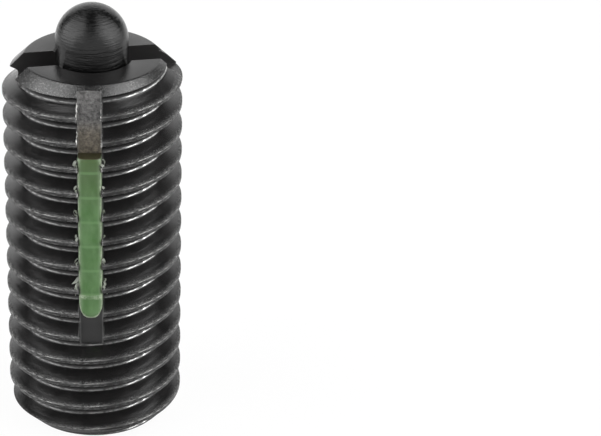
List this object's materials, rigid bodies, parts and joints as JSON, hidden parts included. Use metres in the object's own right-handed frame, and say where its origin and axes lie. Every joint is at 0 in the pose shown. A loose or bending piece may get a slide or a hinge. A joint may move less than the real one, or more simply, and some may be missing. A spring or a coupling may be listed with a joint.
{
  "type": "spring plunger",
  "caption": "Threaded spring plunger with a sprung round-nosed pin, a driver slot, a hexagon socket and a plastic locking strip in the thread.",
  "frame": {"origin": "centre of the socket-end face, on the thread's axis, where the plunger stands", "axes": "+Z along the axis towards the pin's nose; -Y through the middle of the locking strip; +X to the right of the strip"},
  "size_m": [0.0098, 0.0098, 0.025],
  "materials": {
    "black_oxide_steel": "turned, threaded and black-oxided, satin with a trace of oil",
    "pin_steel": "turned, case-hardened and black-oxided, with fine turning rings",
    "spring_wire": "bright drawn spring wire",
    "green_polyamide": "pressed-in polyamide, slightly translucent, satin"
  },
  "bodies": {
    "sleeve_body": {"sleeve": "black_oxide_steel", "socket_plug": "black_oxide_steel", "locking_strip": "green_polyamide", "compression_spring": "spring_wire"},
    "pin_body": {"thrust_pin": "pin_steel"}
  },
  "joints": [
    {"name": "pin_press", "type": "slide", "parent": "sleeve_body", "child": "pin_body", "axis": [0, 0, -1], "range_m": [0, 0.003], "stiffness_N_per_m": 10000, "deforming": ["compression_spring"]}
  ]
}
